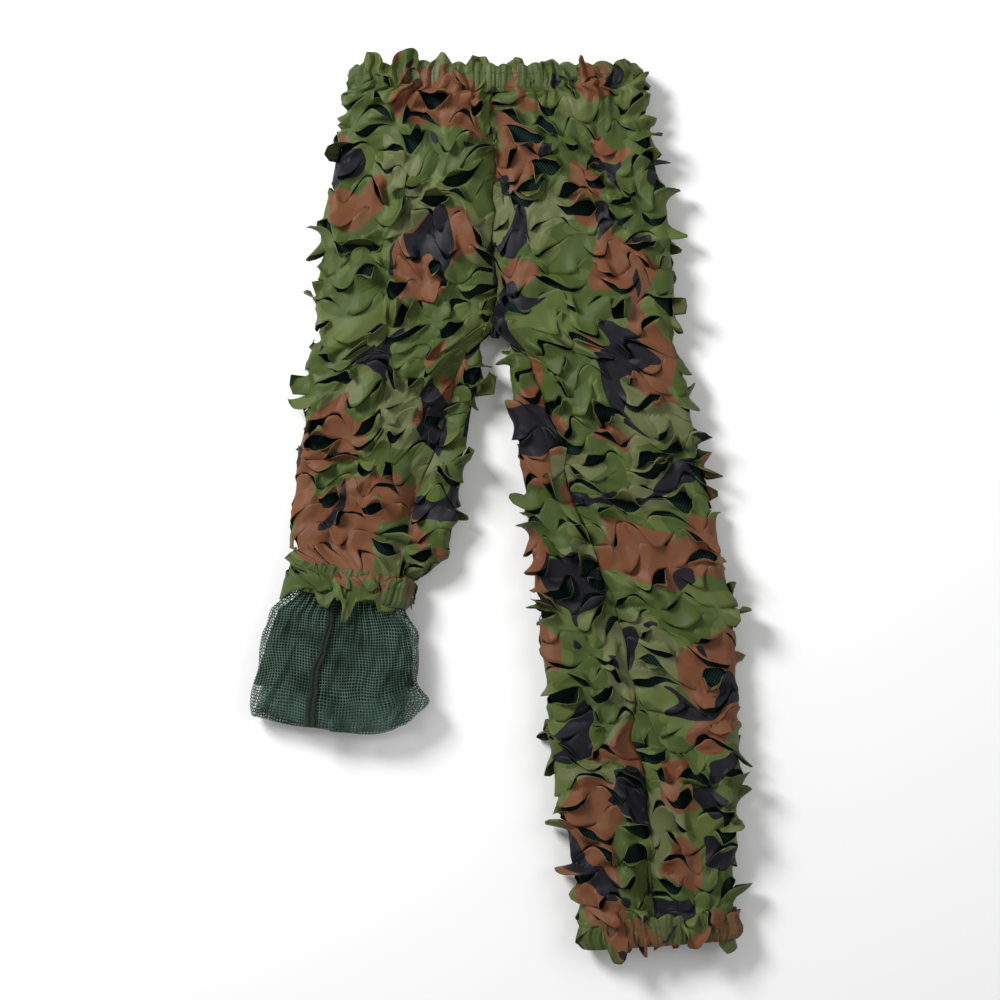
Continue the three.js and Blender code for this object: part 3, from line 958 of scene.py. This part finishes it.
BLACK_PATCHES = [
    (-0.052, 0.285, 0.026, 0.034, -40, 0.32), (-0.155, 0.400, 0.020, 0.016, 0, 0.22),
    (-0.065, 0.430, 0.030, 0.012, -20, 0.20), (0.115, 0.490, 0.026, 0.014, 0, 0.26),
    (0.060, 0.240, 0.030, 0.014, 0, 0.22), (0.175, 0.300, 0.012, 0.030, 0, 0.22),
    (-0.065, 0.080, 0.012, 0.060, 10, 0.24), (0.140, 0.160, 0.020, 0.035, 25, 0.22),
    (0.040, 0.085, 0.022, 0.030, 20, 0.24), (0.215, 0.040, 0.030, 0.014, 20, 0.22),
    (0.095, -0.075, 0.030, 0.026, 15, 0.26), (0.150, -0.340, 0.026, 0.040, -20, 0.30),
    (0.225, -0.240, 0.026, 0.014, 0, 0.22), (0.190, -0.450, 0.030, 0.020, 0, 0.22),
]
SAGE_PATCHES = [
    (-0.080, 0.350, 0.045, 0.035, 0, 0.18), (-0.100, 0.120, 0.040, 0.040, 0, 0.14),
    (0.120, 0.060, 0.045, 0.040, 0, 0.16), (0.170, -0.170, 0.035, 0.045, 0, 0.16),
    (0.020, 0.330, 0.040, 0.030, 0, 0.14), (0.140, -0.270, 0.030, 0.040, 0, 0.14),
]


def patches(points, places):
    """How strongly the print favours a colour at each point: a soft bell around each patch of the front."""
    total = np.full(len(points), -0.045)
    for x, y, wide, long, degrees, weight in places:
        turn = math.radians(degrees)
        dx = points[:, 0] - x
        dy = points[:, 1] - y
        u = (dx * math.cos(turn) + dy * math.sin(turn)) / wide
        v = (dy * math.cos(turn) - dx * math.sin(turn)) / long
        total += weight * np.exp(-0.5 * (u * u + v * v)) * (points[:, 2] > 0.018)
    return total


def print_bias(piece):
    """Stores on the cloth's points how the print leans to brown, black or sage there."""
    points = points_of(piece.data)
    for name, places in (("brown", BROWN_PATCHES), ("black", BLACK_PATCHES), ("sage", SAGE_PATCHES)):
        attribute = piece.data.attributes.new(name, "FLOAT", "POINT")
        attribute.data.foreach_set("value", patches(points, places).astype(np.float32))


# ---------------------------------------------------------------- pieces

FACE, REVERSE, EDGE_HIGHLIGHT, REVERSE_IN_PAINTED_SHADE = leaf_face(), leaf_reverse(), leaf_edge_painted_highlight(), leaf_reverse_in_painted_shade()
LINING, NETTING = dark_lining(), open_netting()
TAPE, HEM, THREAD, ELASTIC = tape_look(), hem_look(), thread_look(), elastic_look()


def nodes_like(*beginnings):
    """The CAD nodes whose names begin in one of these ways."""
    return [name for name in frame["nodes"] if name.startswith(beginnings)]


def leg_nodes(side, wanted):
    """The nodes of a thigh and shin that belong to their shells, or to their lining."""
    nodes = nodes_like(f"{side}_thigh", f"{side}_shin")
    if wanted == "lining":
        return [n for n in nodes if "lining" in n]
    return [n for n in nodes if "lining" not in n and "seam" not in n]


def over_joint(side, joint):
    """The two bodies that a hip or knee joins, and the joint's name."""
    bodies = {"hip": ("pelvis", f"{side}_thigh"), "knee": (f"{side}_thigh", f"{side}_shin")}
    return (*bodies[joint], f"{side}_{joint}")


def bend_at(piece, parent, child, joint, reach=0.035):
    """Looks up the joint and the direction across it, and bakes the piece's place into its mesh."""
    row = next(j for j in frame["joints"] if j["name"] == joint)
    place = Vector(row["pos_m"])
    down = Vector((0, 0, 1)).cross(Vector(row["axis"])).normalized()
    if down.y > 0:
        down = -down
    place - down * reach
    place + down * reach
    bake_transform(piece)


def settle(piece, looks, body, nodes=None, thickness=0):
    """Gives a piece its materials, the body it rides on, the nodes it stands for, and a sheet's thickness
    inwards. A piece given a joint instead of a body only has its place baked into its mesh. Of three looks,
    the second is for the reverse and the third for the cut edge. Printed pieces get the leaning of the print
    too."""
    for look in looks:
        piece.data.materials.append(look)
    if looks[0] in (FACE, HEM, REVERSE_IN_PAINTED_SHADE):
        print_bias(piece)
    if thickness:
        wall = piece.modifiers.new("thickness", "SOLIDIFY")
        wall.thickness = thickness
        wall.offset = -1
        if len(looks) == 3:
            wall.material_offset = 1
            wall.material_offset_rim = 2
    if isinstance(body, tuple):
        bend_at(piece, *body)
    else:
        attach(piece, body)
    if nodes is not None:
        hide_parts(*nodes)


def over_waist(panel, seed):
    """Gathers at the waistband, which shows above the leaves at the middle of the front."""

    def trim(s, t, lift):
        near_waist = np.exp(-(t / 0.04) ** 2)
        ruffle = 0.0040 * np.sin(2 * np.pi * (s / 0.022 + 0.4 * wobble(s / 0.05, t / 0.05, seed)))
        over_sleeve = 0.008 * smooth((0.055 - t) / 0.02)
        lower = 0.005 * panel.front_middle(s) * smooth((0.10 - t) / 0.10)
        return t + lower, lift + near_waist * ruffle + over_sleeve

    return trim


def over_right_hem(s, t, lift):
    """The leaves spread over the sleeve of the right ankle."""
    past = t - LEGS["right"].distance[-1] + SLEEVE_LENGTH + 0.012
    return t + 0.014 * smooth(past / 0.03), lift + 0.008 * smooth(past / 0.02)


def over_left_hem(panel):
    """The last leaves of the left leg hang over the turned-up hem in front, and stop short of it behind."""

    def trim(s, t, lift):
        sideways, floor = panel.facing(s, t)
        near = smooth((t - LEFT_HEM_PLACE + 0.032) / 0.026)
        raised = (0.0150 + 0.009 * sideways) * near * (1 - floor)
        return t + (0.015 - 0.041 * floor) * near, lift * (1 - 0.4 * near) + raised

    return trim


def pressed_flat(s, t, lift):
    """The leaves lie flat inside the cuff."""
    return t, 0.12 * lift


def leaf_cloths():
    """The leaf cloth of each side over the hips and down the leg, and the end of the left one in its cuff."""
    thigh_row = int(THIGH_JOIN / ROW)
    hem_row = round((LEFT_HEM_PLACE + 0.010) / ROW)
    for side, seed in (("left", 5), ("right", 9)):
        panel = Panel(side)
        hip_nodes = nodes_like(f"hip_shell_front_{side}", f"hip_shell_back_{side}", f"hip_fold_{side}")
        hip, knee = over_joint(side, "hip"), over_joint(side, "knee")
        shells = leg_nodes(side, "shells")
        last = int((panel.legs.distance[-1] + (0.004 if side == "right" else -0.030)) / ROW)
        stretches = [("hip_leaf_cloth", panel, 0, thigh_row, over_waist(panel, seed), hip, hip_nodes, 1.1)]
        if side == "left":
            inside = Panel("left", inset=0.020, low=0.0115, high=0.0335)
            stretches += [
                ("leg_leaf_cloth", panel, thigh_row, hem_row, over_left_hem(panel), knee, shells, 1.1),
                ("leg_leaf_cloth_in_cuff", inside, hem_row, last, pressed_flat, "left_shin", [], 0.85)]
        else:
            stretches += [("leg_leaf_cloth", panel, thigh_row, last, over_right_hem, knee, shells, 1.1)]
        for part, surface, start, end, trim, body, nodes, fullness in stretches:
            piece = leaf_cloth(f"{side}_{part}", surface, start, end, seed, trim)
            settle(piece, (FACE, REVERSE, EDGE_HIGHLIGHT), body, nodes, CLOTH_THICKNESS)
            flat, area = cut_size(panel, start * ROW, end * ROW, fullness)


def linings():
    """The mesh lining of each side, in the same stretches as the leaf cloth above it. The hips have one set
    of lining nodes, which the left side stands for."""
    for side, seed in (("left", 41), ("right", 51)):
        panel = Panel(side, inset=0.012, low=0.0125, high=0.0305)
        end = panel.legs.distance[-1] - (0.034 if side == "left" else 0.012)
        hip_nodes = ("hip_lining_front", "hip_lining_back") if side == "left" else None
        stretches = [
            ("hip", "hip", 0.006, THIGH_JOIN, hip_nodes),
            ("leg", "knee", THIGH_JOIN, end, leg_nodes(side, "lining"))]
        for part, joint, top, bottom, nodes in stretches:
            piece = lining(f"{side}_{part}_lining", panel, top, bottom, seed)
            settle(piece, (LINING,), over_joint(side, joint), nodes, LINING_THICKNESS)
            flat, area = cut_size(panel, top, bottom, 1.0)


def hems():
    """Waistband and ankle sleeves, with the free edge of the turned-up one."""
    right = LEGS["right"]
    turned_up = rows_of_node("left_ankle_casing_front")
    garment_hems = [
        ("waist", Tube(HIPS, 0.0122, 0.0372, 0.002), 0.0045, 34, 61, "pelvis", (0.0085, 0.0245)),
        ("right_ankle", Tube(right, 0.0122, 0.0372, 0.002), right.distance[-1] - SLEEVE_LENGTH, 26, 62,
         "right_shin", (0.007,)),
        ("left_ankle", Tube(turned_up, 0.0045, 0.0450, -0.004), -0.004, 24, 63, "left_shin", (0.006, 0.025)),
    ]
    for part, tube, start, gathers, seed, body, lines in garment_hems:
        cloth = sleeve(f"{part}_hem", tube, start, gathers, seed)
        settle(cloth, (HEM,), body, nodes_like(f"{part}_casing"))
        band = elastic_band(f"{part}_elastic_band", tube, start)
        settle(band, (ELASTIC,), body, (f"{part}_elastic",))
        for t in lines:
            line = sewn_line(f"{part}_stitches_{round(t * 1000)}", tube, start + t, gathers, seed)
            settle(line, (THREAD,), body)
    edge = frill("left_ankle_hem_edge", Tube(turned_up, 0.0045, 0.0470, -0.004), 0.002, -0.011, 24, 64)
    settle(edge, (HEM,), "left_shin", thickness=LINING_THICKNESS)


def cuff_netting(rows, round_trip):
    """The cuff's netting: gathered into the hem, full and loose below it, rolled inwards at its lower edge
    and drawn back a short way inside.

    The width bulges below the hem. Gathers fade out down the cuff, and facets take over as folds, which are
    flatter beside the seam and towards the floor.
    """
    length = rows.distance[-1]
    share, run = np.meshgrid(
        np.linspace(0, 1, 341), np.linspace(-CUFF_HEADING, length + CUFF_ROLL + CUFF_BACK, 170))
    beyond = np.clip((run - length + CUFF_ROLL) / (2 * CUFF_ROLL), 0, 1)
    t = np.minimum(run, length) - np.maximum(run - length - CUFF_ROLL, 0)
    inward = 0.0075 * smooth(beyond)
    gather = np.exp(-np.maximum(run, 0) / 0.040)
    radial = np.sin(2 * np.pi * (share * 34 + 0.8 * wobble(share * 12, run / 0.03, 71)))
    soft = wobble(share * 13 + run * 16, run / 0.055, 72)
    soft = soft + 0.5 * facets(share * 29 - run * 20, run / 0.03, 73)
    folds = facets(share * 24 + run * 18, run / 0.070 + share * 5, 79)
    creases = facets(share * 46 - run * 25, run / 0.060 - share * 9, 80)
    out = 0.0022 * gather * radial + 0.0016 * soft * (1 - gather) - inward - 0.002 * gather
    beside_seam = 1 - 0.9 * np.exp(-((share - 0.548) / 0.032) ** 2)
    above_floor = 0.15 + 0.85 * smooth((0.30 - np.abs(share - 0.5)) / 0.1)
    loose = beside_seam * above_floor
    out = out + (0.0052 * folds + 0.0030 * creases + 0.0015) * smooth(run / 0.03) * (1 - beyond) * loose
    right_side = np.exp(-((share - 0.25) / 0.10) ** 2)
    sag = 0.006 * wobble(share * 9, 0 * run, 74) - 0.026 * right_side
    bulge = 0.016 * smooth((run + 0.004) / 0.030) * smooth(1.15 - run / length)
    tip = 0.014 * right_side * np.exp(-((run - length + 0.030) / 0.014) ** 2)
    tube = Tube(rows, 0.0050, 0.0440, 0.008 - bulge + 0.004 * wobble(run / 0.030, 0 * run, 78) - tip)
    t = t + sag * smooth(run / length)
    return ring_object("left_cuff_netting", tube, share, t, out, share * round_trip, run)


def cuff_cloth(rows, round_trip):
    """The leaf cloth under the cuff's netting, its dull side outwards, shorter at its right side."""
    length = rows.distance[-1]
    share, run = np.meshgrid(np.linspace(0, 1, 200), np.linspace(0.0, length - CUFF_CLOTH_SHORTER, 70))
    crumple = 0.0012 * wobble(share * 17, run / 0.02, 76) + 0.0008 * facets(share * 40, run / 0.012, 77)
    shorter = 0.034 * np.exp(-((share - 0.25) / 0.12) ** 2) * smooth(run / length)
    tube = Tube(rows, 0.0090, 0.0375, 0.0190 - 0.016 * smooth((run + 0.004) / 0.030))
    t = run - shorter
    return ring_object("left_cuff_leaf_cloth", tube, share, t, crumple, share * round_trip, 1.2 - run)


def cuff():
    """The turned-up end of the left leg: its netting, the seam on it, and the leaf cloth inside."""
    rows = rows_of_node("left_cuff_lining_back")
    rows.seam = np.linspace(-0.018, -0.024, len(rows.distance))
    length = rows.distance[-1]
    round_trip = 4 * rows.at(np.array([length]))[2][0]
    netting = cuff_netting(rows, round_trip)
    nodes = [n for n in nodes_like("left_cuff") if "shell" not in n and "seam" not in n]
    settle(netting, (NETTING,), "left_shin", nodes)
    flat = (round_trip, length + CUFF_ROLL + CUFF_BACK + CUFF_HEADING)
    tube = Tube(rows, 0.0035, 0.0440, 0.003)
    seam = tape("left_cuff_seam_tape", tube, 0.0, length, -0.0036, 75, wide_end=1.8, follow=False)
    settle(seam, (TAPE,), "left_shin", nodes_like("left_cuff_seam"), TAPE_THICKNESS)
    inner = cuff_cloth(rows, round_trip)
    # The cloth inside the cuff is coloured with painted shade, nearly black.
    settle(inner, (REVERSE_IN_PAINTED_SHADE,), "left_shin", nodes_like("left_cuff_shell"), CLOTH_THICKNESS)
    length - CUFF_CLOTH_SHORTER


def seams():
    """The centre seams, and the seam of each leg from the crotch to the hem."""
    shape = (BACK_HEIGHT, FRONT_HEIGHT, SIDE_INSET, SEAM_VALLEY)
    hips = Tube(HIPS, *shape)
    for part, drop, seed, underneath in (("front", 0.0032, 81, False), ("back", 0.001, 82, True)):
        piece = tape(f"centre_{part}_seam_tape", hips, 0.032, RISE - 0.004, drop, seed, underneath)
        settle(piece, (TAPE,), "pelvis", (f"centre_seam_{part}",), TAPE_THICKNESS)
    for side, seed, short in (("left", 83, 0.15), ("right", 84, 0.034)):
        leg = Tube(LEGS[side], *shape)
        end = LEGS[side].distance[-1] - short
        piece = tape(f"{side}_leg_seam_tape", leg, RISE + 0.004, end, 0.0035, seed)
        nodes = nodes_like(f"{side}_thigh_seam", f"{side}_shin_seam")
        settle(piece, (TAPE,), over_joint(side, "knee"), nodes, TAPE_THICKNESS)


def studio():
    """A pale floor, two soft lights in a white surround, and a camera straight above."""
    edge = 25.0
    corners = [(-edge, -edge, 0), (edge, -edge, 0), (edge, edge, 0), (-edge, edge, 0)]
    floor = mesh_object("floor", corners, [(0, 1, 2, 3)])
    look = Look("pale_floor", Base_Color=(0.86, 0.86, 0.86, 1), Roughness=0.9, Specular_IOR_Level=0.1)
    floor.data.materials.append(look.material)
    bpy.context.scene.view_settings.view_transform = "Standard"
    world = bpy.data.worlds.new("studio")
    world.use_nodes = True
    background = world.node_tree.nodes["Background"]
    background.inputs["Color"].default_value = (1, 1, 1, 1)
    background.inputs["Strength"].default_value = 0.38
    bpy.context.scene.world = world
    lights = [("key", (-1.7, 1.5, 2.0), 0.9, 108), ("fill", (1.8, 0.4, 2.0), 1.6, 18)]
    for name, place, size, watts in lights:
        light = bpy.data.lights.new(name, "AREA")
        light.size = size
        light.energy = watts
        lamp = bpy.data.objects.new(name, light)
        lamp.location = place
        lamp.rotation_euler = (-Vector(place)).to_track_quat("-Z", "Y").to_euler()
        bpy.context.collection.objects.link(lamp)
    camera_data = bpy.data.cameras.new("camera")
    camera_data.sensor_width = 36
    camera_data.lens = 100
    camera = bpy.data.objects.new("camera", camera_data)
    distance = 1.15 * camera_data.lens / camera_data.sensor_width
    camera.location = (0.006, 0.009, distance + TOP / 2)
    bpy.context.collection.objects.link(camera)
    bpy.context.scene.camera = camera


studio()
leaf_cloths()
linings()
hems()
cuff()
seams()
